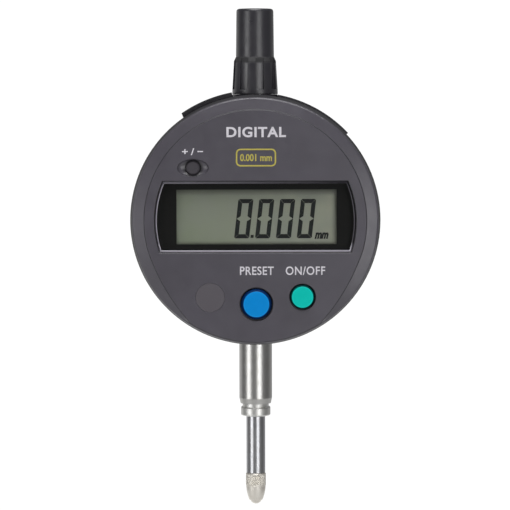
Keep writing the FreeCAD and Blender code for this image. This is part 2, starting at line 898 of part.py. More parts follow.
def contact_point():
    """The screwed-in contact point: a knurled collar, a taper, and a ball held in its end."""
    seat = "(ball_radius + 0.02)"
    seat_edge = f"sqrt({seat}^2 - (ball_y - holder_end)^2)"
    profile = [
        (seat_edge, "holder_end"),
        ("holder_end_radius", "holder_end", "taper_radius"),
        ("knurl_radius - 0.06", "knurl_end"),
        ("knurl_radius", "knurl_end + 0.15"),
        ("knurl_radius", "spindle_low - 0.3"),
        ("knurl_radius - 0.2", "spindle_low"),
        ("stud_radius", "spindle_low"),
        ("stud_radius", "spindle_low + stud_length"),
        ("0", "spindle_low + stud_length"),
        ("0", f"ball_y + {seat}", seat, "inwards"),
    ]
    keep("contact_holder", on_axis(turned("contact_holder", profile)))
    ball = DOC.addObject("Part::Sphere", "Ball")
    bind(ball, Radius="ball_radius")
    keep("contact_ball", place(ball, z="dial_height + ball_y"))


def spindle_cap():
    profile = [
        ("cap_bore", "cap_base"),
        ("skirt_base_radius - 0.1", "cap_base"),
        ("skirt_base_radius", "cap_base + 0.15"),
        ("skirt_base_radius - 0.03", "flute_base"),
        ("skirt_top_radius", "cap_joint - 0.95"),
        ("cap_waist_radius + 0.05", "cap_joint"),
        ("cap_waist_radius", "cap_joint + 0.05"),
        ("cap_top_radius", "cap_top"),
        ("0", "cap_top"),
        ("0", "cap_well_top"),
        ("cap_well", "cap_well_top"),
        ("cap_well", "boss_high + 0.3"),
        ("cap_bore", "boss_high + 0.3"),
    ]
    body = turned("spindle_cap", profile)
    top = number("cap_top")
    dress(body, "Fillet", "cap_round", lambda edge: edge.Closed and edge.BoundBox.ZMin > top - 0.01)
    floor_y = "-sqrt(flute_floor^2 - (flute_width / 2)^2)"
    corners = [
        ("-flute_width / 2", "-7"),
        ("flute_width / 2", "-7"),
        ("flute_width / 2", floor_y, "flute_floor", "inwards"),
        ("-flute_width / 2", floor_y),
    ]
    flute = pocket(body, outline(body, "Flute", corners, lift="cap_joint"), "cap_joint - flute_base")
    flutes = body.newObject("PartDesign::PolarPattern", "Flutes")
    flutes.Originals = [flute]
    plane_axis = next(f for f in body.Origin.OriginFeatures if f.Role == "Z_Axis")
    flutes.Axis = (plane_axis, [""])
    flutes.Occurrences = 8
    flutes.Angle = 360
    body.Tip = flutes
    turn = FreeCAD.Rotation(OUT_OF_FACE, number("flute_turn"))
    keep("spindle_cap", place(body, z="dial_height", turn=turn))


# ---------------------------------------------------------------- battery and output socket


def in_tray_frame(body):
    return on_face(body, angle=number("tray_angle"))


def battery_tray():
    """A tray that slides out along its own y, with the proud cover as its outer end."""
    low = "cell_y - cell_radius - 0.8"
    seat_y = "sqrt(cover_seat^2 - tray_half^2)"
    outer_y = "sqrt(cover_radius^2 - tray_half^2)"
    tray = [
        ("-tray_half", low),
        ("tray_half", low),
        ("tray_half", seat_y, "cover_seat"),
        ("-tray_half", seat_y),
    ]
    body = slab("battery_tray", tray, "tray_back", "tray_rim")
    cover = [
        ("tray_half", seat_y),
        ("tray_half", outer_y, "cover_radius"),
        ("-tray_half", outer_y),
        ("-tray_half", seat_y, "cover_seat", "inwards"),
    ]
    slab("tray_cover", cover, "tray_back - cover_margin", "tray_rim + cover_margin + 0.7", body)
    depth = "tray_rim - tray_back - tray_floor"
    drill(body, "Cell_pocket", [("0", "cell_y", "cell_radius + 0.08")], "tray_rim", depth)
    notch = rectangle("-1.8", f"{low} - 1", "1.8", "cell_y - 5")
    pocket(body, outline(body, "End_notch", notch, lift="tray_rim"), depth)
    nail = rectangle("-2", "cover_radius - 0.45", "2", "cover_radius + 1")
    pocket(body, outline(body, "Nail_groove", nail, lift="tray_rim"), "0.9")
    keep("battery_tray", in_tray_frame(body))


def battery_cell():
    low = "tray_back + tray_floor"
    profile = [
        ("0", low),
        ("cell_radius - 0.3", low),
        ("cell_radius", f"{low} + 0.3"),
        ("cell_radius", f"{low} + cell_height - 0.7"),
        ("cell_radius - 0.4", f"{low} + cell_height - 0.45"),
        ("cell_radius - 0.8", f"{low} + cell_height - 0.45"),
        ("cell_radius - 0.9", f"{low} + cell_height"),
        ("0", f"{low} + cell_height"),
    ]
    body = turned("battery_cell", profile)
    keep("battery_cell", on_face(body, "cell_y * cos(tray_angle)", "cell_y * sin(tray_angle)"))


def battery_contacts():
    """Leaf springs, drawn lifted clear of the cell by 0.1 mm so that the tray slides past them."""
    leaf = ("-10.6", "frame_top + 0.1", "-8.2", "24")
    keep("battery_contact_neg", face_box("battery_contact_neg", leaf, "board_front", "board_front + 0.2"))
    body = slab("contact_foot", rectangle("-1.2", "11.6", "1.2", "15.4"), "board_front", "board_front + 0.2")
    slab("contact_leaf", rectangle("-1.2", "15.2", "1.2", "15.4"), "4", "board_front + 0.1", body)
    keep("battery_contact_pos", in_tray_frame(body))


def data_socket():
    """The output socket: a box with an open outer end, and two rows of five contacts."""
    angle = number("socket_angle")
    outer = rectangle("-socket_half", "socket_low", "socket_half", "socket_high")
    walls = [
        ("-socket_half", "socket_low"),
        ("socket_half", "socket_low"),
        ("socket_half", "socket_high"),
        ("mouth_half", "socket_high"),
        ("mouth_half", "mouth_low"),
        ("-mouth_half", "mouth_low"),
        ("-mouth_half", "socket_high"),
        ("-socket_half", "socket_high"),
    ]
    body = slab("socket_floor", outer, "socket_back", "mouth_back")
    slab("socket_walls", walls, "mouth_back", "mouth_front", body)
    slab("socket_lid", outer, "mouth_front", "socket_front", body)
    keep("data_socket", on_face(body, angle=angle))
    pins = []
    for row_index, height in enumerate(("mouth_back + 1", "mouth_front - 1.4")):
        for column in range(-2, 3):
            middle = f"{column} * 2"
            end = "mouth_low + pin_length"
            sides = rectangle(f"{middle} - pin_half", "mouth_low", f"{middle} + pin_half", end)
            pin = slab(f"pin_{row_index}_{column + 2}", sides, height, f"{height} + 2 * pin_half")
            pins.append(on_face(pin, angle=angle))
    keep("socket_pins", group("socket_pins", pins))


def connector_cover():
    """A pull-off cover: a curved plate in the case's recess, with a short plug in the socket's mouth."""
    body = flap_segment("connector_cover", "flap_half_angle", "flap_seat", "flap_radius", "0")
    plug = rectangle("-mouth_half + play", "mouth_low + 4.8", "mouth_half - play", "flap_seat + 0.3")
    slab("cover_plug", plug, "mouth_back + play", "mouth_front - play", body)
    keep("connector_cover", on_face(body, angle=number("socket_angle")))


# ---------------------------------------------------------------- encoder, guide and return spring


def encoder():
    head = ("-head_half", "head_low", "head_half", "head_high")
    keep("encoder_head", face_box("encoder_head", head, "head_back", "board_back"))
    strip = ("-scale_half", "scale_low", "scale_half", "scale_high")
    keep("encoder_scale", face_box("encoder_scale", strip, "scale_back", "scale_front"))


def scale_carrier():
    """A block clamped on the spindle, with a plate for the scale in front and an arm for the spring."""
    block = rectangle("-carrier_half", "carrier_low", "carrier_half", "carrier_high")
    body = slab("carrier_block", block, "-3.6", "3.9")
    plate = rectangle("-scale_half - 0.4", "scale_low + 0.1", "scale_half + 0.4", "scale_high")
    slab("carrier_plate", plate, "3.8", "scale_back", body)
    arm = rectangle("spring_x - 1.6", "arm_low", "1 - carrier_half", "carrier_high")
    slab("carrier_arm", arm, "-1.6", "1.6", body)
    drill(body, "Clamp_hole", [("0", "clamp_y", "1")], "0", "5")
    on_face(body)
    tools = [
        rod("spindle_way", "spindle_radius", "40", "0", "0", "dial_height - 30"),
        rod("pin_seat", "pin_radius", "3", "3.2", "0", "dial_height + pin_y", RIGHT_TURN),
        rod("plug_hole", "plug_radius", "plug_reach", "spring_x", "0", "dial_height + arm_low"),
    ]
    keep("scale_carrier", combine("Cut", "scale_carrier", body, *tools))
    keep("guide_pin", rod("guide_pin", "pin_radius", "7.2", "3.2", "0", "dial_height + pin_y", RIGHT_TURN))
    screw = rod("clamp_screw", "1", "1.6", "0", "spindle_radius", "dial_height + clamp_y", BACK_TURN)
    keep("clamp_screw", screw)


def guide_rail():
    """A plate with a closed slot for the guide pin, on a foot that is screwed to the case."""
    floor_y = "-case_floor"
    web = rectangle("-3.2", "rail_low", floor_y, "rail_high")
    low = "pin_y - 0.15"
    high = "pin_y + travel + 0.15"
    slot = [
        ("-slot_radius", low, "slot_radius"),
        ("0", f"{low} - slot_radius", "slot_radius"),
        ("slot_radius", low),
        ("slot_radius", high, "slot_radius"),
        ("0", f"{high} + slot_radius", "slot_radius"),
        ("-slot_radius", high),
    ]
    body = slab("guide_rail", web, "rail_left", "rail_right", hole=slot, role="YZ_Plane")
    foot = rectangle(f"{floor_y} - 1", "rail_low", floor_y, "rail_high")
    slab("rail_foot", foot, "rail_right - 0.1", "rail_right + 4", body, role="YZ_Plane")
    on_axis(body)
    holes = [
        rod(f"rail_hole_{i}", "small_screw + 0.1", "3", x, f"{floor_y} - 2", f"dial_height + {y}", BACK_TURN)
        for i, (x, y) in enumerate(RAIL_SCREWS)
    ]
    keep("guide_rail", combine("Cut", "guide_rail", body, *holes))


def return_spring():
    body = new_body("return_spring")
    wire = sketch_on(body, "Wire", "XZ_Plane")
    add_circle(wire, "spring_radius", "spring_low + wire_radius", "wire_radius")
    coil = body.newObject("PartDesign::AdditiveHelix", "Coil")
    coil.Profile = wire
    coil.ReferenceAxis = (wire, ["V_Axis"])
    coil.Mode = "pitch-height-angle"
    bind(coil, Pitch="spring_pitch", Height="spring_high - spring_low - 2 * wire_radius")
    keep("return_spring", on_axis(body, "spring_x"))


def spring_ends():
    """The turned ends that hold the spring: one in the case, one in the carrier's arm."""
    anchor = [
        ("0", "anchor_low"),
        ("plug_radius", "anchor_low"),
        ("plug_radius", "spring_low - 0.3"),
        ("1.9", "spring_low - 0.3"),
        ("1.9", "spring_low"),
        ("1.2", "spring_low"),
        ("1.2", "spring_low + 1.8"),
        ("0", "spring_low + 1.8"),
    ]
    keep("spring_anchor", on_axis(turned("spring_anchor", anchor), "spring_x"))
    plug = [
        ("0", "spring_high - 1.8"),
        ("1.2", "spring_high - 1.8"),
        ("1.2", "spring_high"),
        ("1.9", "spring_high"),
        ("1.9", "arm_low"),
        ("plug_radius", "arm_low"),
        ("plug_radius", "arm_low + plug_reach"),
        ("0", "arm_low + plug_reach"),
    ]
    keep("spring_plug", on_axis(turned("spring_plug", plug), "spring_x"))


# ---------------------------------------------------------------- back plate and screws


def lug_back():
    """The back plate, with a lug whose hole runs across the case."""
    body = new_body("lug_back")
    plate = [
        ("0", "plate_back"),
        ("plate_radius - 0.6", "plate_back"),
        ("plate_radius", "plate_back + 0.6"),
        ("plate_radius", "case_back"),
        ("0", "case_back"),
    ]
    turned("back_disc", plate, body)
    lug = [
        ("-lug_radius", "lug_centre", "lug_radius"),
        ("0", "lug_centre - lug_radius", "lug_radius"),
        ("lug_radius", "lug_centre"),
        ("lug_radius", "plate_back + 0.1"),
        ("-lug_radius", "plate_back + 0.1"),
    ]
    slab("lug", lug, "-lug_half", "lug_half", body, role="YZ_Plane")
    root = number("plate_back")
    reach = number("lug_half") + 0.01

    def at_lug_root(edge):
        span = edge.BoundBox
        return abs(span.ZMin - root) < 0.01 and abs(span.ZMax - root) < 0.01 and abs(span.XMax) < reach

    dress(body, "Fillet", "lug_fillet", at_lug_root)
    hole = sketch_on(body, "Lug_hole", "YZ_Plane", "lug_half")
    add_circle(hole, "0", "lug_centre", "lug_hole")
    pocket(body, hole, "2 * lug_half")
    drill(body, "Plate_holes", [(x, y, "screw_hole") for x, y in PLATE_SCREWS], "case_back", "3")
    sunk = [(x, y, "counterbore") for x, y in PLATE_SCREWS]
    drill(body, "Plate_recesses", sunk, "plate_back + head_height + 0.1", "3")
    keep("lug_back", on_face(body))


def screw(name, x, y, seat, length, shank="screw_radius", head="head_radius", turn=BACK_TURN):
    """A cheese-head screw with a slot, whose head stands on the plane Y = seat."""
    profile = [
        ("0", f"-({length})"),
        (f"{shank} - 0.3", f"-({length})"),
        (shank, f"0.4 - ({length})"),
        (shank, "0"),
        (head, "0"),
        (head, "head_height - 0.25"),
        (f"{head} - 0.25", "head_height"),
        ("0", "head_height"),
    ]
    body = turned(name, profile)
    slot = rectangle(f"-{head} - 1", "-0.2", f"{head} + 1", "0.2")
    pocket(body, outline(body, "Slot_" + name, slot, lift="head_height"), "0.45")
    return place(body, x, seat, f"dial_height + {y}", turn)


def screws():
    seat = "-plate_back - head_height - 0.1"
    plate = [screw(f"back_screw_{i}", x, y, seat, "2.3") for i, (x, y) in enumerate(PLATE_SCREWS)]
    keep("back_screws", group("back_screws", plate))
    seat = "-case_back - head_depth"
    case = [screw(f"case_screw_{i}", x, y, seat, "case_screw_length") for i, (x, y) in enumerate(PILLARS)]
    keep("case_screws", group("case_screws", case))
    small = ("small_screw", "small_head", FACE_TURN)
    seat = "-board_front"
    board = [screw(f"board_screw_{i}", *spot, seat, "5", *small) for i, spot in enumerate(BOARD_POSTS)]
    keep("pcb_screws", group("pcb_screws", board))
    seat = "-case_floor - 1"
    rail = [screw(f"rail_screw_{i}", *spot, seat, "2.2", *small) for i, spot in enumerate(RAIL_SCREWS)]
    keep("rail_screws", group("rail_screws", rail))


# ---------------------------------------------------------------- build, check and write

BUILDERS = [
    front_case,
    rear_case,
    blank_key,
    window_lens,
    lcd_mask,
    lcd_frame,
    display,
    main_pcb,
    pcb_chips,
    key_domes,
    keys,
    stem,
    lower_bush,
    upper_bush,
    bumper_washer,
    spindle,
    contact_point,
    spindle_cap,
    battery_tray,
    battery_cell,
    battery_contacts,
    data_socket,
    connector_cover,
    encoder,
    scale_carrier,
    guide_rail,
    return_spring,
    spring_ends,
    lug_back,
    screws,
]

for build in BUILDERS:
    build()
DOC.recompute()

for thing in DOC.Objects:
    if {"Invalid", "Error"} & set(thing.State):
        raise RuntimeError(f"{thing.Name} ({thing.Label}) failed: {thing.State}")
os.makedirs("parts", exist_ok=True)
for name, thing in PIECES.items():
    shape = thing.Shape
    if shape.isNull() or not shape.isValid() or not shape.Solids:
        raise RuntimeError(f"{name} has no valid solid")
    shape.exportStep(f"parts/{name}.step")
    span = shape.BoundBox
    size = " x ".join(f"{length:.2f}" for length in (span.XLength, span.YLength, span.ZLength))
    print(f"{name}: {len(shape.Solids)} solid(s), {shape.Volume:.1f} mm3, {size} mm")
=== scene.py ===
import math

import bmesh
import bpy
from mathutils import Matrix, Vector


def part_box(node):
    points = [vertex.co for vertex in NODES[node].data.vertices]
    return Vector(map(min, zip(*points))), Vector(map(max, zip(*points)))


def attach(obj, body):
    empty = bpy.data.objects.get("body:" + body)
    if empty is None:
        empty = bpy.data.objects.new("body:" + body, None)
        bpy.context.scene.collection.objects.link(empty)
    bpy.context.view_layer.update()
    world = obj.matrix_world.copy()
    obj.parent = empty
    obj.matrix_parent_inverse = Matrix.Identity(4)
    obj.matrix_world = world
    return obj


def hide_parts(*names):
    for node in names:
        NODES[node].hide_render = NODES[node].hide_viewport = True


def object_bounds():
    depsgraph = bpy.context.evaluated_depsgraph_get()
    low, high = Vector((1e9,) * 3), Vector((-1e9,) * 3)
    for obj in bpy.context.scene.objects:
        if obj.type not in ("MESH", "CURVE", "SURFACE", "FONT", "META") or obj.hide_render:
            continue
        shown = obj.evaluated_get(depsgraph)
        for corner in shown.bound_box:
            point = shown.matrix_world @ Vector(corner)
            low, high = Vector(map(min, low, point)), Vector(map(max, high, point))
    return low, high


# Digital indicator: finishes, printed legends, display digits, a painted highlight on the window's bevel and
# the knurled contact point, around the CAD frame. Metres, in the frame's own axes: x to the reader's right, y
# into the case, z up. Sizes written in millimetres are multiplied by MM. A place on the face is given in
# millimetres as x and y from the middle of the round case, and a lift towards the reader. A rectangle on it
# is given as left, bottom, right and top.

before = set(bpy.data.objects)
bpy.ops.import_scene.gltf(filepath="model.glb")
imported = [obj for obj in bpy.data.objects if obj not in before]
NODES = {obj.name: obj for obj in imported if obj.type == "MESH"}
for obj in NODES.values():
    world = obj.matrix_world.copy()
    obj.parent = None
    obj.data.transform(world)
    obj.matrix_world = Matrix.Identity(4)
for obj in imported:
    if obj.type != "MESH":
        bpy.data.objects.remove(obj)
CAD_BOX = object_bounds()
MM = 0.001
PER_MM = 1000.0


def middle(node):
    """The middle of a CAD node's box."""
    low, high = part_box(node)
    return (low + high) / 2


DIAL = middle("front_case")
FACE_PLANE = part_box("front_case")[0].y
GLASS_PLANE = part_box("lcd_glass")[0].y
FACE_DEPTH = FACE_PLANE * PER_MM

# Edges of the part of the display that shows between the masks
VIEW_TOP = 7.5
VIEW_BOTTOM = -5.6
VIEW_RIGHT = 19.4


def face_point(x, y, lift=0.0, plane=FACE_PLANE):
    """A point on the face, from millimetres."""
    return Vector((x * MM, plane - lift * MM, DIAL.z + y * MM))


# ---------------------------------------------------------------- materials


def srgb(red, green, blue):
    """A colour as a painter's 0 to 255 values, for a shader."""
    values = [c / 255 for c in (red, green, blue)]
    return [c / 12.92 if c < 0.04045 else ((c + 0.055) / 1.055) ** 2.4 for c in values] + [1.0]


class Finish:
    """A procedural material while it is being made. Lengths in it are in millimetres."""

    def __init__(self, name, colour, roughness, **sockets):
        self.material = bpy.data.materials.new(name)
        self.material.use_nodes = True
        self.tree = self.material.node_tree
        self.shader = self.tree.nodes["Principled BSDF"]
        self.shader.inputs["Base Color"].default_value = colour
        self.shader.inputs["Roughness"].default_value = roughness
        for socket, value in sockets.items():
            self.shader.inputs[socket.replace("_", " ")].default_value = value
        place = self.node("ShaderNodeTexCoord")
        scale = self.node("ShaderNodeVectorMath", operation="SCALE")
        scale.inputs["Scale"].default_value = PER_MM
        self.link(place.outputs["Object"], scale.inputs[0])
        self.place = scale.outputs["Vector"]
        self.height = None

    def node(self, kind, **settings):
        """A new shader node with its settings."""
        made = self.tree.nodes.new(kind)
        for name, value in settings.items():
            setattr(made, name, value)
        return made

    def link(self, source, target):
        self.tree.links.new(source, target)

    def stretched(self, x, y, z):
        """Texture space scaled along each axis, for grain that runs one way."""
        mapping = self.node("ShaderNodeMapping")
        mapping.inputs["Scale"].default_value = (x, y, z)
        self.link(self.place, mapping.inputs["Vector"])
        return mapping.outputs["Vector"]

    def noise(self, size, detail=3.0, place=None):
        """Cloudy noise from 0 to 1, with spots about size across."""
        made = self.node("ShaderNodeTexNoise")
        made.inputs["Scale"].default_value = 1.0 / size
        made.inputs["Detail"].default_value = detail
        self.link(place or self.place, made.inputs["Vector"])
        return made.outputs["Fac"]

    def spread(self, source, low, high, start=0.3, end=0.7):
        """A value between low and high as source goes from start to end."""
        made = self.node("ShaderNodeMapRange")
        for name, value in zip(("From Min", "From Max", "To Min", "To Max"), (start, end, low, high)):
            made.inputs[name].default_value = value
        self.link(source, made.inputs["Value"])
        return made.outputs["Result"]

    def blend(self, share, first, second):
        """A colour between two, each a colour or another node's output."""
        made = self.node("ShaderNodeMix", data_type="RGBA")
        self.link(share, made.inputs["Factor"])
        for side, value in (("A", first), ("B", second)):
            socket = next(s for s in made.inputs if s.name == side and s.type == "RGBA")
            if isinstance(value, list):
                socket.default_value = value
            else:
                self.link(value, socket)
        return next(s for s in made.outputs if s.type == "RGBA")

    def paint(self, colour):
        """Use a node's output as the colour."""
        self.link(colour, self.shader.inputs["Base Color"])
        return self

    def mottle(self, size, first, second):
        """Colour that drifts between two close shades."""
        return self.paint(self.blend(self.spread(self.noise(size), 0, 1), first, second))

    def worn(self, size, low, high):
        """Gloss that varies, as on a handled surface."""
        self.link(self.spread(self.noise(size, 5.0), low, high), self.shader.inputs["Roughness"])
        return self

    def bump(self, source, depth):
        """Raise the surface by depth where source is 1. Several of these add up."""
        made = self.node("ShaderNodeBump")
        made.inputs["Strength"].default_value = 1.0
        made.inputs["Distance"].default_value = depth * MM
        self.link(source, made.inputs["Height"])
        if self.height:
            self.link(self.height, made.inputs["Normal"])
        self.height = made.outputs["Normal"]
        self.link(self.height, self.shader.inputs["Normal"])
        return self

    def grain(self, size, depth):
        """The fine even texture of a mould or a blasted surface."""
        return self.bump(self.noise(size, 2.0), depth)

    def lines(self, pitch, depth, place):
        """Fine machining lines, from noise squeezed along one axis."""
        return self.bump(self.noise(pitch, 4.0, place), depth)

    def soft_edges(self, radius):
        """Corners that catch light as if slightly rounded."""
        made = self.node("ShaderNodeBevel", samples=4)
        made.inputs["Radius"].default_value = radius * MM
        if self.height:
            first = next(n for n in self.tree.nodes if n.type == "BUMP" and not n.inputs["Normal"].is_linked)
            self.link(made.outputs["Normal"], first.inputs["Normal"])
        else:
            self.link(made.outputs["Normal"], self.shader.inputs["Normal"])
        return self

    def distance_from(self, x, y, z):
        """How far a point is from a fixed one, in millimetres."""
        made = self.node("ShaderNodeVectorMath", operation="DISTANCE")
        made.inputs[1].default_value = (x, y, z)
        self.link(self.place, made.inputs[0])
        return made.outputs["Value"]

    def axis(self, name):
        """A point's place along X, Y or Z, in millimetres."""
        made = self.node("ShaderNodeSeparateXYZ")
        self.link(self.place, made.inputs[0])
        return made.outputs[name]

    def combined(self, operation, first, second):
        """Two values put together with a sum, product or the like."""
        made = self.node("ShaderNodeMath", operation=operation)
        self.link(first, made.inputs[0])
        self.link(second, made.inputs[1])
        return made.outputs["Value"]

    def dulled(self, share, amount, low, high):
        """Gloss that varies from low to high, made rougher by amount where share is 1."""
        extra = self.spread(share, 0.0, amount, 0.0, 1.0)
        uneven = self.spread(self.noise(2.5, 5.0), low, high)
        self.link(self.combined("ADD", extra, uneven), self.shader.inputs["Roughness"])
        return self


def moulded(name, dark, light, roughness, grain_depth=0.012, shine=0.5):
    """Moulded plastic: a fine grain, small drifts of shade and a slightly uneven gloss."""
    finish = Finish(name, dark, roughness, IOR=1.48, Specular_IOR_Level=shine)
    finish.mottle(9.0, dark, light)
    finish.worn(2.5, roughness - 0.05, roughness + 0.06)
    return finish.grain(0.16, grain_depth)


def steel(name, colour, roughness, line_pitch, line_depth):
    """Turned or ground steel: fine lines round the axis, and faint smears of use."""
    finish = Finish(name, colour, roughness, Metallic=1.0)
    warm = [colour[0] * 0.95, colour[1] * 0.94, colour[2] * 0.92, 1.0]
    finish.mottle(2.2, colour, warm)
    finish.worn(0.9, roughness - 0.03, roughness + 0.04)
    return finish.lines(line_pitch, line_depth, finish.stretched(0.02, 0.02, 1.0))


def key_finish(name, node, top, edge, top_radius):
    """A coloured key: matt top, a flank painted darker as shade, and a thin painted highlight where they
    meet.
    """
    finish = Finish(name, top, 0.42, IOR=1.48, Specular_IOR_Level=0.15)
    centre = middle(node) * PER_MM
    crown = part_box(node)[0].y * PER_MM
    away = finish.distance_from(centre.x, crown, centre.z)
    shade = finish.blend(finish.spread(finish.noise(1.3), 0, 1), top, [c * 1.04 for c in top[:3]] + [1.0])
    # A painted highlight ring where the top meets the flank.
    lit = [min(1.0, c * 1.15 + 0.005) for c in top[:3]] + [1.0]
    highlight_ringed = finish.blend(finish.spread(away, 0, 1, top_radius - 0.45, top_radius - 0.1), shade, lit)
    # The flank is painted darker, as shade.
    finish.paint(finish.blend(finish.spread(away, 0, 1, top_radius - 0.12, top_radius + 0.04), highlight_ringed, edge))
    finish.worn(0.8, 0.36, 0.48)
    return finish.grain(0.12, 0.006)


def display_finish():
    """The liquid crystal panel: grey-green at the left, paler at the right, under glossy glass, with shadow
    painted along its top, bottom and right edges where the mask stands in front of it.
    """
    finish = Finish("display_panel", srgb(118, 126, 108), 0.34, IOR=1.5)
    across = finish.spread(finish.axis("X"), 0, 1, -16.0, 18.0)
    base = finish.blend(across, srgb(112, 121, 101), srgb(131, 134, 118))
    patch = finish.blend(finish.spread(finish.noise(7.0), 0, 1), base, srgb(117, 122, 111))
    weave = finish.blend(finish.spread(finish.noise(0.25), 0, 0.25), patch, srgb(123, 129, 112))
    top = VIEW_TOP + DIAL.z * PER_MM
    bottom = VIEW_BOTTOM + DIAL.z * PER_MM
    shade = weave
    # Shadow painted along the top, bottom and right edges, where the mask stands in front of the panel.
    for axis, strength, start, end in (("Z", 1, top - 1.5, top), ("Z", 0.7, bottom + 0.8, bottom),
                                       ("X", 0.8, VIEW_RIGHT - 1.3, VIEW_RIGHT)):
        edge_shadow = finish.spread(finish.axis(axis), 0, strength, start, end)
        shade = finish.blend(edge_shadow, shade, srgb(66, 70, 60))
    finish.paint(shade)
    return finish.grain(0.3, 0.002)


def lens_finish():
    """The clear window pane, with a faint unevenness in its polish."""
    finish = Finish("window_pane", [1.0, 1.0, 1.0, 1.0], 0.02, IOR=1.49, Transmission_Weight=1.0,
                    Specular_IOR_Level=0.3)
    return finish.worn(6.0, 0.0, 0.03)


def board_finish():
    """Circuit board: green lacquer over a faint pattern of copper tracks."""
    finish = Finish("board_lacquer", srgb(24, 82, 52), 0.35, IOR=1.52, Coat_Weight=0.4)
    tracks = finish.node("ShaderNodeTexBrick")
    tracks.inputs["Scale"].default_value = 0.45
    tracks.inputs["Mortar Size"].default_value = 0.06
    finish.link(finish.place, tracks.inputs["Vector"])
    finish.paint(finish.blend(tracks.outputs["Fac"], srgb(24, 82, 52), srgb(52, 118, 66)))
    return finish.bump(tracks.outputs["Fac"], 0.02)


def turned_alloy(name, colour, roughness):
    """Faced alloy, with turning rings about the case's own axis."""
    finish = Finish(name, colour, roughness, Metallic=1.0)
    centre = DIAL * PER_MM
    rings = finish.node("ShaderNodeVectorMath", operation="MULTIPLY")
    rings.inputs[1].default_value = (1.0, 0.0, 1.0)
    finish.link(finish.place, rings.inputs[0])
    away = finish.node("ShaderNodeVectorMath", operation="DISTANCE")
    away.inputs[1].default_value = (centre.x, 0.0, centre.z)
    finish.link(rings.outputs["Vector"], away.inputs[0])
    outwards = finish.node("ShaderNodeCombineXYZ")
    finish.link(away.outputs["Value"], outwards.inputs["X"])
    finish.mottle(6.0, colour, [c * 0.9 for c in colour[:3]] + [1.0])
    finish.worn(1.5, roughness - 0.04, roughness + 0.06)
    return finish.lines(0.12, 0.006, outwards.outputs["Vector"])


# Height of the dust cap's plain upper part, in millimetres
CAP_ABOVE_JOINT = 11.7


def cap_finish():
    """Glossy black plastic, duller where the flutes end under the cap's joint, with shade painted darker
    there.
    """
    finish = Finish("cap_plastic", srgb(46, 45, 51), 0.32, IOR=1.48, Specular_IOR_Level=1.0)
    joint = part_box("spindle_cap")[1].z * PER_MM - CAP_ABOVE_JOINT
    height = finish.axis("Z")
    below = finish.spread(height, 1, 0, joint + 0.02, joint + 0.1)
    above = finish.spread(height, 0, 1, joint - 1.5, joint - 1.1)
    dull_shaded_zone = finish.combined("MULTIPLY", below, above)
    body = finish.blend(finish.spread(finish.noise(9.0), 0, 1), srgb(44, 43, 49), srgb(49, 48, 54))
    # Shade painted in the band where the flutes end under the joint.
    finish.paint(finish.blend(dull_shaded_zone, body, srgb(30, 29, 33)))
    finish.dulled(dull_shaded_zone, 0.4, 0.27, 0.38)
    return finish.grain(0.16, 0.008)


# Depths behind the face, in millimetres: where its chamfer begins and ends, and where the outer slope begins
CHAMFER_FROM = (0.02, 0.06)
CHAMFER_TO = (0.2, 0.26)
SLOPE_FROM = (1.35, 1.7)
# Distance from the sign key's middle over which the shade in its dish fades
DISH_SHADE = (1.9, 2.6)


def case_finish():
    """Grey moulded face. Its chamfered edge and the slope beyond the bright rim are duller, and shade is
    painted on both, as it is in the dish round the sign key.
    """
    finish = Finish("case_paint", srgb(80, 77, 86), 0.34, IOR=1.48, Specular_IOR_Level=0.8)
    depth = finish.axis("Y")
    chamfer_from, chamfer_to, slope_from = [
        [FACE_DEPTH + value for value in reach] for reach in (CHAMFER_FROM, CHAMFER_TO, SLOPE_FROM)
    ]
    slope = finish.spread(depth, 0, 1, *slope_from)
    face = finish.blend(finish.spread(finish.noise(9.0), 0, 1), srgb(77, 74, 82), srgb(83, 80, 89))
    key = middle("sign_key") * PER_MM
    # Shade painted in the dish round the sign key, darkest near the key.
    near_key = finish.spread(finish.distance_from(key.x, FACE_DEPTH + 1.0, key.z), 1, 0, *DISH_SHADE)
    shaded = finish.blend(near_key, face, srgb(34, 33, 37))
    # Shade painted along the chamfered edge of the face, between these two depths.
    behind_face = finish.spread(depth, 0, 1, *chamfer_from)
    before_rim = finish.spread(depth, 1, 0, *chamfer_to)
    edge = finish.combined("MULTIPLY", behind_face, before_rim)
    chamfer_shaded = finish.blend(edge, shaded, srgb(42, 41, 45))
    # Shade painted on the outer slope beyond the rim.
    finish.paint(finish.blend(slope, chamfer_shaded, srgb(40, 39, 43)))
    finish.dulled(finish.combined("MAXIMUM", slope, edge), 0.27, 0.3, 0.39)
    return finish.grain(0.16, 0.005)


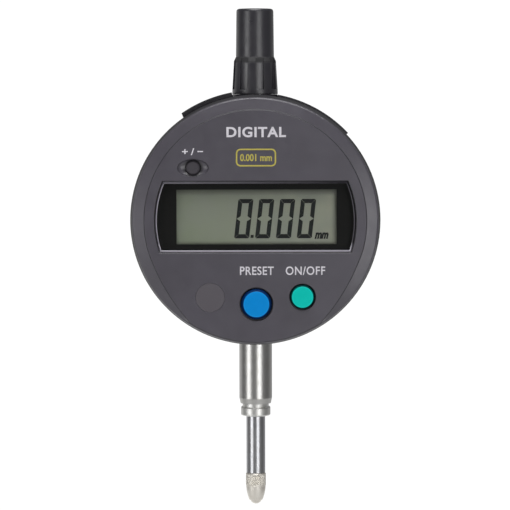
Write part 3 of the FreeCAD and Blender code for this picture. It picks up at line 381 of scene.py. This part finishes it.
FINISHES = {
    "case_grey": case_finish().soft_edges(0.12),
    "rear_grey": moulded("rear_paint", srgb(62, 60, 66), srgb(68, 66, 72), 0.4, 0.01).soft_edges(0.15),
    "blank_grey": moulded("blank_plug", srgb(86, 82, 89), srgb(91, 87, 93), 0.5, 0.008),
    "mask_black": moulded("mask_ink", srgb(10, 11, 9), srgb(15, 16, 14), 0.5, 0.004, 0.3),
    "inner_black": moulded("inner_plastic", srgb(26, 26, 28), srgb(32, 32, 34), 0.55),
    "cap_black": cap_finish().soft_edges(0.1),
    "tray_black": moulded("tray_plastic", srgb(38, 37, 41), srgb(44, 43, 47), 0.36, 0.01).soft_edges(0.12),
    "flap_grey": moulded("flap_plastic", srgb(46, 45, 50), srgb(52, 51, 56), 0.38, 0.01).soft_edges(0.12),
    "key_dark": moulded("sign_key_rubber", srgb(60, 57, 63), srgb(66, 63, 69), 0.5, 0.008),
    "rubber_grey": moulded("strip_rubber", srgb(110, 110, 108), srgb(120, 120, 116), 0.7, 0.02),
    "rubber_black": moulded("washer_rubber", srgb(24, 24, 25), srgb(31, 31, 32), 0.75, 0.02),
    "chip_black": moulded("chip_resin", srgb(28, 28, 30), srgb(36, 36, 38), 0.6, 0.01),
    # The second colour of each key is shade painted on its flank.
    "key_blue": key_finish("blue_key", "preset_key", srgb(0, 140, 220), srgb(6, 44, 94), 3.1),
    "key_teal": key_finish("teal_key", "power_key", srgb(0, 200, 186), srgb(4, 66, 66), 2.57),
    "display_glass": display_finish(),
    "display_green": moulded("reflector_foil", srgb(150, 156, 138), srgb(158, 163, 146), 0.45, 0.01),
    "window_clear": lens_finish(),
    "board_green": board_finish(),
    "spring_steel": steel("spring_wire", srgb(178, 178, 182), 0.28, 0.08, 0.002),
    "stem_steel": steel("stem_ground", srgb(203, 203, 201), 0.33, 0.07, 0.0016),
    "bush_steel": steel("bush_turned", srgb(236, 236, 234), 0.42, 0.15, 0.003),
    "spindle_steel": steel("spindle_lapped", srgb(196, 197, 201), 0.31, 0.2, 0.0001),
    "contact_steel": steel("contact_turned", srgb(250, 246, 238), 0.5, 0.15, 0.003),
    "screw_steel": steel("screw_head", srgb(196, 194, 190), 0.3, 0.1, 0.003),
    "cell_steel": steel("cell_can", srgb(206, 206, 204), 0.25, 0.1, 0.002),
    "pin_gold": steel("pin_plating", srgb(224, 182, 96), 0.25, 0.08, 0.001),
    "alloy": steel("carrier_alloy", srgb(186, 187, 190), 0.4, 0.12, 0.004),
    "carbide": steel("carbide_ball", srgb(246, 242, 234), 0.46, 0.3, 0.0004),
    "back_alloy": turned_alloy("back_plate_alloy", srgb(168, 168, 172), 0.36).soft_edges(0.15),
    "scale_glass": moulded("scale_resin", srgb(30, 60, 62), srgb(38, 68, 70), 0.18, 0.001),
}


for cad_object in NODES.values():
    for slot in cad_object.material_slots:
        record_material = slot.material.name.split(".")[0]
        slot.material = FINISHES[record_material].material

NODES["window_lens"].visible_shadow = False


# ---------------------------------------------------------------- pieces made here

# Thickness of the printing and of the display's digits
PRINT = 0.02


def add_piece(name, mesh, finish, body, smooth_angle=None):
    """Put a mesh in the scene with a finish, riding on a body."""
    piece = bpy.data.objects.new(name, mesh)
    bpy.context.scene.collection.objects.link(piece)
    mesh.materials.clear()
    mesh.materials.append(finish)
    if smooth_angle:
        mesh.shade_smooth()
        mesh.set_sharp_from_angle(angle=math.radians(smooth_angle))
    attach(piece, body)
    return piece


def extruded(name, outlines, plane):
    """A mesh of flat prints: each outline, anticlockwise on the face, raised a little from a plane."""
    mesh = bpy.data.meshes.new(name)
    work = bmesh.new()
    for corners in outlines:
        base = [work.verts.new(face_point(x, y, 0.0, plane)) for x, y in corners]
        top = [work.verts.new(face_point(x, y, PRINT, plane)) for x, y in corners]
        work.faces.new(list(reversed(base)))
        work.faces.new(top)
        for i in range(len(corners)):
            j = (i + 1) % len(corners)
            work.faces.new((base[i], base[j], top[j], top[i]))
    bmesh.ops.recalc_face_normals(work, faces=work.faces)
    work.to_mesh(mesh)
    work.free()
    return mesh


def text_mesh(name, text, rectangle, plane, weight=0.0, lean=0.0, spacing=1.0):
    """Lettering fitted to a rectangle of the face."""
    left, bottom, right, top = rectangle
    curve = bpy.data.curves.new(name + "_line", "FONT")
    curve.body = text
    curve.offset = weight
    curve.shear = lean
    curve.space_character = spacing
    curve.resolution_u = 6
    curve.extrude = 0.5
    curve.fill_mode = "BOTH"
    holder = bpy.data.objects.new(name + "_line", curve)
    bpy.context.scene.collection.objects.link(holder)
    bpy.context.view_layer.update()
    mesh = bpy.data.meshes.new_from_object(holder)
    bpy.data.objects.remove(holder)
    bpy.data.curves.remove(curve)
    mesh.name = name
    lows = [min(v.co[i] for v in mesh.vertices) for i in range(3)]
    highs = [max(v.co[i] for v in mesh.vertices) for i in range(3)]
    for vertex in mesh.vertices:
        across, up, out = [(vertex.co[i] - lows[i]) / (highs[i] - lows[i]) for i in range(3)]
        x = left + across * (right - left)
        y = bottom + up * (top - bottom)
        vertex.co = face_point(x, y, out * PRINT, plane)
    mesh.update()
    work = bmesh.new()
    work.from_mesh(mesh)
    bmesh.ops.remove_doubles(work, verts=work.verts, dist=0.002 * MM)
    bmesh.ops.recalc_face_normals(work, faces=work.faces)
    work.to_mesh(mesh)
    work.free()
    return mesh


def ink(name, colour, roughness=0.5, shine=0.5):
    """Screen printing: an even film with slight drifts of shade."""
    finish = Finish(name, colour, roughness, IOR=1.5, Specular_IOR_Level=shine)
    finish.mottle(0.35, colour, [c * 0.9 for c in colour[:3]] + [1.0])
    finish.grain(0.1, 0.002)
    return finish.material


WHITE_INK = ink("legend_ink", srgb(226, 223, 230))
YELLOW_INK = ink("badge_ink", srgb(196, 184, 84))
DIGIT_INK = ink("digit_crystal", srgb(5, 9, 9), 0.5, 0.2)

# The words, their rectangle on the face and how they are set
LEGENDS = {
    "legend_title": ("DIGITAL", (-6.83, 19.95, 7.31, 22.45), dict(weight=0.03, spacing=1.1)),
    "legend_sign": ("+/−", (-17.37, 15.76, -12.38, 17.4), dict(weight=0.02, spacing=1.5)),
    "legend_preset": ("PRESET", (-3.69, -12.83, 4.36, -10.78), dict(weight=0.014, spacing=1.08)),
    "legend_power": ("ON/OFF", (7.21, -12.83, 16.61, -10.78), dict(weight=0.014, spacing=1.1)),
}

for legend, (words, rectangle, style) in LEGENDS.items():
    add_piece(legend, text_mesh(legend, words, rectangle, FACE_PLANE, **style), WHITE_INK, "housing")


CORNER_STEPS = 8


def rounded_box(left, bottom, right, top, radius):
    """Corners of a rectangle with round corners, anticlockwise."""
    points = []
    for turn, (x, y) in enumerate([(right - radius, top - radius), (left + radius, top - radius),
                                   (left + radius, bottom + radius), (right - radius, bottom + radius)]):
        for i in range(CORNER_STEPS + 1):
            angle = math.pi / 2 * (turn + i / CORNER_STEPS)
            points.append((x + radius * math.cos(angle), y + radius * math.sin(angle)))
    return points


def ring_mesh(name, outer, inner):
    """A band printed on the face between two anticlockwise outlines with the same number of corners."""
    mesh = bpy.data.meshes.new(name)
    work = bmesh.new()
    loops = [
        [work.verts.new(face_point(x, y, lift)) for x, y in corners]
        for corners, lift in ((outer, 0.0), (outer, PRINT), (inner, PRINT), (inner, 0.0))
    ]
    for this, following in zip(loops, loops[1:] + loops[:1]):
        for i in range(len(outer)):
            j = (i + 1) % len(outer)
            work.faces.new((this[i], this[j], following[j], following[i]))
    bmesh.ops.recalc_face_normals(work, faces=work.faces)
    work.to_mesh(mesh)
    work.free()
    return mesh


BADGE = (-4.59, 13.04, 4.97, 17.26)
BADGE_CORNER = 1.1
BADGE_LINE = 0.34
BADGE_MARGIN = (1.0, 1.25)


def shrunk(rectangle, across, up):
    """A rectangle with its sides moved inwards."""
    left, bottom, right, top = rectangle
    return left + across, bottom + up, right - across, top - up


badge_outer = rounded_box(*BADGE, BADGE_CORNER)
badge_inner = rounded_box(*shrunk(BADGE, BADGE_LINE, BADGE_LINE), BADGE_CORNER - BADGE_LINE)
badge_outline = ring_mesh("badge_outline", badge_outer, badge_inner)
add_piece("badge_outline", badge_outline, YELLOW_INK, "housing")
badge_text = text_mesh("badge_text", "0.001 mm", shrunk(BADGE, *BADGE_MARGIN), FACE_PLANE, weight=0.024)
add_piece("badge_text", badge_text, YELLOW_INK, "housing")


# ---------------------------------------------------------------- display digits

DIGIT_WIDTH = 3.6
DIGIT_HEIGHT = 9.4
SEGMENT = 1.0
GAP = 0.04
CORNER_CUT = 0.28
WAIST_TIP = 0.12
WAIST_RISE = 0.62
LEAN = math.tan(math.radians(6.5))
DIGIT_MIDDLE = 0.47
DIGIT_PITCH = 4.99
FIRST_DIGIT = -2.76
DIGITS = 4
POINT_AT = (-0.77, -3.76)
POINT_SIZE = 0.72
UNIT_BOX = (14.15, -4.38, 17.5, -2.8)


def segments_of_zero():
    """The six dark segments of a 0, upright about its own middle, each anticlockwise."""
    w, h, t, g, c = DIGIT_WIDTH / 2, DIGIT_HEIGHT / 2, SEGMENT, GAP / 2, CORNER_CUT
    cap = [(w - c - g, h), (-w + c + g, h), (-w + c / 2 + g, h - c / 2 + g), (-w + t + g, h - t),
           (w - t - g, h - t), (w - c / 2 - g, h - c / 2 + g)]
    side = [(-w, h - c - g), (-w, g), (-w + WAIST_TIP, g), (-w + t, t * WAIST_RISE), (-w + t, h - t - g),
            (-w + c / 2 - g, h - c / 2 - g)]
    mirrored = [(-x, y) for x, y in reversed(side)]
    upper = [cap, side, mirrored]
    lower = [[(x, -y) for x, y in reversed(corners)] for corners in upper]
    return upper + lower


def leaned(corners, x, y):
    """Corners moved to a digit's middle and slanted about it."""
    return [(x + px + py * LEAN, y + py) for px, py in corners]


for index in range(DIGITS):
    centre_x = FIRST_DIGIT + index * DIGIT_PITCH
    shapes = [leaned(corners, centre_x, DIGIT_MIDDLE) for corners in segments_of_zero()]
    digit_name = f"display_digit_{index + 1}"
    add_piece(digit_name, extruded(digit_name, shapes, GLASS_PLANE), DIGIT_INK, "housing")

half_point = POINT_SIZE / 2
point_corners = [(-half_point, -half_point), (half_point, -half_point), (half_point, half_point),
                 (-half_point, half_point)]
point_shape = leaned(point_corners, *POINT_AT)
add_piece("display_point", extruded("display_point", [point_shape], GLASS_PLANE), DIGIT_INK, "housing")
unit_mesh = text_mesh("display_unit", "mm", UNIT_BOX, GLASS_PLANE, weight=0.055, lean=0.3)
add_piece("display_unit", unit_mesh, DIGIT_INK, "housing")


# ---------------------------------------------------------------- painted highlight on the bevel round the window

BEVEL_FILM = 0.015
# A sloping face turns this much of its normal towards the reader
SLOPING = (0.5, 0.9)


def bevel_mesh():
    """A thin film over the bevel of the window pane, copied from the pane's own sloping faces, that carries a
    painted highlight.
    """
    pane = NODES["window_lens"]
    film = bpy.data.meshes.new("lens_bevel")
    work = bmesh.new()
    work.from_mesh(pane.data)
    work.transform(pane.matrix_world)
    work.normal_update()
    others = [face for face in work.faces if not SLOPING[0] < -face.normal.y < SLOPING[1]]
    bmesh.ops.delete(work, geom=others, context="FACES")
    bmesh.ops.remove_doubles(work, verts=work.verts, dist=0.001 * MM)
    work.normal_update()
    bmesh.ops.solidify(work, geom=work.faces[:], thickness=-BEVEL_FILM * MM)
    bmesh.ops.recalc_face_normals(work, faces=work.faces)
    work.to_mesh(film)
    work.free()
    return film


def bevel_highlight_finish():
    """Glass bevel with a painted highlight: brightest below and at the left, dim above and at the right."""
    finish = Finish("lens_bevel_painted_highlight", srgb(150, 147, 156), 0.4, IOR=1.49)
    centre = DIAL * PER_MM
    # Where the painted highlight is brightest: along the bottom and towards the left.
    low = finish.spread(finish.axis("Z"), 0, 1, centre.z - 5.0, centre.z - 7.0)
    side = finish.spread(finish.axis("X"), 0, 1, centre.x + 20.0, centre.x - 22.0)
    along = finish.blend(side, srgb(74, 72, 79), srgb(172, 169, 180))
    finish.paint(finish.blend(low, along, srgb(236, 232, 244)))
    return finish.grain(0.2, 0.004)


add_piece("lens_bevel", bevel_mesh(), bevel_highlight_finish().material, "housing")


# ---------------------------------------------------------------- knurled contact point

KNURLS = 30
KNURL_DEPTH = 0.13
KNURL_HEIGHT = 3.0
KNURL_PITCH = 2 * math.pi * 2.45 / KNURLS * 1.15
KNURL_CROWN = 1.6
KNURL_ROWS = 52
KNURL_FADE = 9
EDGE_CUT = 0.05
ROUND_STEPS = 300
NOSE_STEPS = 14
END_RADIUS = 1.62
SEAT_DEPTH = 0.45
STUD_RADIUS = 1.25


def knurl_height(turn, along):
    """Height of a diamond knurl, 0 in the grooves and 1 on the points."""
    ridges = []
    for hand in (1, -1):
        phase = (turn * KNURLS + hand * along / KNURL_PITCH) % 1.0
        ridges.append(min(1.0, KNURL_CROWN * (1 - abs(2 * phase - 1))))
    return min(ridges)


def contact_profile():
    """Radius, height and share of knurl up the contact point, in millimetres, from the ball's seat up."""
    low, high = (corner * PER_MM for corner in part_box("contact_holder"))
    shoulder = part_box("spindle")[0].z * PER_MM
    widest = high.x
    knurl_low = shoulder - KNURL_HEIGHT
    seat_radius = 0.95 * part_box("contact_ball")[1].x * PER_MM
    seat_top = low.z + SEAT_DEPTH
    rows = [(0.0, seat_top, 0.0), (seat_radius, seat_top, 0.0), (seat_radius + 0.02, low.z, 0.0),
            (END_RADIUS - 0.1, low.z, 0.0), (END_RADIUS, low.z + 0.1, 0.0)]
    for i in range(1, NOSE_STEPS + 1):
        share = i / NOSE_STEPS
        radius = END_RADIUS + (widest - 0.08 - END_RADIUS) * math.sin(share * math.pi / 2) ** 0.9
        rows.append((radius, low.z + 0.1 + share * (knurl_low - low.z - 0.25), 0.0))
    rows.append((widest - EDGE_CUT, knurl_low - EDGE_CUT, 0.0))
    for i in range(KNURL_ROWS + 1):
        share = i / KNURL_ROWS
        fade = min(1.0, share * KNURL_FADE, (1 - share) * KNURL_FADE)
        rows.append((widest, knurl_low + share * (KNURL_HEIGHT - 0.22), fade))
    rows += [(widest - 0.06, shoulder - 0.16, 0.0), (widest - 0.2, shoulder, 0.0),
             (STUD_RADIUS, shoulder, 0.0), (STUD_RADIUS, high.z - 0.2, 0.0), (STUD_RADIUS - 0.2, high.z, 0.0),
             (0.0, high.z, 0.0)]
    return rows


def contact_mesh():
    """The contact point as a turned solid with a diamond knurl cut into its band."""
    mesh = bpy.data.meshes.new("contact_knurled")
    work = bmesh.new()
    rings = []
    for radius, height, knurled in contact_profile():
        if radius == 0:
            rings.append([work.verts.new((0, 0, height * MM))])
            continue
        ring = []
        for i in range(ROUND_STEPS):
            turn = i / ROUND_STEPS
            cut = 0.0
            if knurled:
                groove = KNURL_DEPTH * (1 - knurl_height(turn, height))
                cut = groove * knurled + EDGE_CUT * (1 - knurled)
            r = (radius - cut) * MM
            angle = 2 * math.pi * turn
            ring.append(work.verts.new((r * math.cos(angle), r * math.sin(angle), height * MM)))
        rings.append(ring)
    for lower, upper in zip(rings, rings[1:]):
        for i in range(ROUND_STEPS):
            j = (i + 1) % ROUND_STEPS
            if len(lower) == 1:
                work.faces.new((lower[0], upper[j], upper[i]))
            elif len(upper) == 1:
                work.faces.new((lower[i], lower[j], upper[0]))
            else:
                work.faces.new((lower[i], lower[j], upper[j], upper[i]))
    bmesh.ops.recalc_face_normals(work, faces=work.faces)
    work.to_mesh(mesh)
    work.free()
    return mesh


contact = add_piece("contact_knurled", contact_mesh(), FINISHES["contact_steel"].material, "spindle",
                    smooth_angle=35)
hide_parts("contact_holder")


# ---------------------------------------------------------------- studio and camera

CAMERA_AWAY = 0.6
CAMERA_RISE = 4.0
CAMERA_LENS = 173.6
CAMERA_SENSOR = 36.0
AIM_BELOW_DIAL = 9.05 * MM
AIM_SIDE = -0.1 * MM
CAMERA_ROLL = -0.13
WALL_LEFT = 0.55
WALL_RIGHT = 0.28
ROOM = 0.11
CEILING = 0.1
TABLE = 0.5
BACKDROP = 1.05
FLOOR_DROP = 0.6
FLOOR_RADIUS = 3.0
FLOOR_GLOW = 0.8

# Square lamps: degrees to the reader's right and up from level, metres away, side in metres, brightness
LAMPS = {
    "softbox_right": dict(azimuth=27.0, rise=-5.0, away=0.6, side=0.27, radiance=3.2),
    "softbox_left": dict(azimuth=-50.0, rise=-5.0, away=1.0, side=0.45, radiance=2.8),
    "softbox_above": dict(azimuth=0.0, rise=68.0, away=1.0, side=0.8, radiance=4.2),
}


def aim(thing, position, target, roll=0.0):
    """Put a camera or lamp at a place, looking at a target."""
    thing.location = position
    thing.rotation_euler = (target - position).to_track_quat("-Z", "Y").to_euler()
    thing.rotation_euler.rotate_axis("Z", math.radians(roll))


def add_camera():
    """A long lens straight in front of the face and a little above it."""
    camera = bpy.data.objects.new("camera", bpy.data.cameras.new("camera"))
    bpy.context.scene.collection.objects.link(camera)
    camera.data.lens = CAMERA_LENS
    camera.data.sensor_width = CAMERA_SENSOR
    camera.data.clip_start = 0.01
    camera.data.clip_end = 10.0
    target = Vector((AIM_SIDE, 0.0, DIAL.z - AIM_BELOW_DIAL))
    rise = math.radians(CAMERA_RISE)
    back = Vector((0.0, -math.cos(rise), math.sin(rise)))
    aim(camera, target + back * CAMERA_AWAY, target, CAMERA_ROLL)
    bpy.context.scene.camera = camera


def add_softbox(name, azimuth, rise, away, side, radiance):
    """A square lamp turned to the dial. Azimuth 0 is the reader's side and 90 the reader's right."""
    lamp = bpy.data.lights.new(name, "AREA")
    lamp.size = side
    lamp.energy = radiance * side * side * math.pi
    holder = bpy.data.objects.new(name, lamp)
    bpy.context.scene.collection.objects.link(holder)
    a, e = math.radians(azimuth), math.radians(rise)
    way = Vector((math.sin(a) * math.cos(e), -math.cos(a) * math.cos(e), math.sin(e)))
    aim(holder, DIAL + way * away, DIAL)
    holder.visible_camera = False


def add_world():
    """A dim room with a pale wall behind, brighter to the left, a pale table and a white backdrop."""
    world = bpy.data.worlds.new("studio")
    bpy.context.scene.world = world
    world.use_nodes = True
    tree = world.node_tree
    background = tree.nodes["Background"]
    place = tree.nodes.new("ShaderNodeTexCoord")
    split = tree.nodes.new("ShaderNodeSeparateXYZ")
    tree.links.new(place.outputs["Generated"], split.inputs[0])

    def ramp(axis, start, end, low, high):
        made = tree.nodes.new("ShaderNodeMapRange")
        made.interpolation_type = "SMOOTHSTEP"
        for name, value in (("From Min", start), ("From Max", end), ("To Min", low), ("To Max", high)):
            made.inputs[name].default_value = value
        tree.links.new(split.outputs[axis], made.inputs["Value"])
        return made.outputs["Result"]

    def joined(operation, first, second):
        made = tree.nodes.new("ShaderNodeMath")
        made.operation = operation
        tree.links.new(first, made.inputs[0])
        tree.links.new(second, made.inputs[1])
        return made.outputs["Value"]

    behind = joined("MULTIPLY", ramp("Y", 0.1, 0.75, 0.0, 1.0), ramp("Z", 0.08, 0.3, 1.0, 0.2))
    wall = joined("MULTIPLY", behind, ramp("X", -0.6, 0.6, WALL_LEFT, WALL_RIGHT))
    level = joined("ADD", wall, ramp("Z", 0.3, 1.0, ROOM, ROOM + CEILING))
    room = joined("ADD", level, ramp("Z", -0.15, -0.5, 0.0, TABLE))
    path = tree.nodes.new("ShaderNodeLightPath")
    seen = tree.nodes.new("ShaderNodeMix")
    seen.data_type = "FLOAT"
    tree.links.new(path.outputs["Is Camera Ray"], seen.inputs["Factor"])
    tree.links.new(room, seen.inputs["A"])
    seen.inputs["B"].default_value = BACKDROP
    tree.links.new(seen.outputs["Result"], background.inputs["Strength"])
    background.inputs["Color"].default_value = (1.0, 1.0, 1.0, 1.0)


def add_floor():
    """A wide pale floor far enough below for the object to be seen from underneath."""
    mesh = bpy.data.meshes.new("floor")
    work = bmesh.new()
    bmesh.ops.create_circle(work, cap_ends=True, segments=96, radius=FLOOR_RADIUS)
    work.to_mesh(mesh)
    work.free()
    floor = bpy.data.objects.new("floor", mesh)
    bpy.context.scene.collection.objects.link(floor)
    floor.location = (0.0, 0.0, CAD_BOX[0].z - FLOOR_DROP)
    finish = Finish("floor_paper", srgb(250, 250, 250), 0.9, Emission_Color=(1.0, 1.0, 1.0, 1.0),
                    Emission_Strength=FLOOR_GLOW)
    mesh.materials.append(finish.material)
    floor.visible_glossy = False
    floor.visible_diffuse = False
    floor.visible_transmission = False


add_camera()
add_world()
add_floor()
for lamp_name, settings in LAMPS.items():
    add_softbox(lamp_name, **settings)

bpy.context.scene.view_settings.view_transform = "Standard"
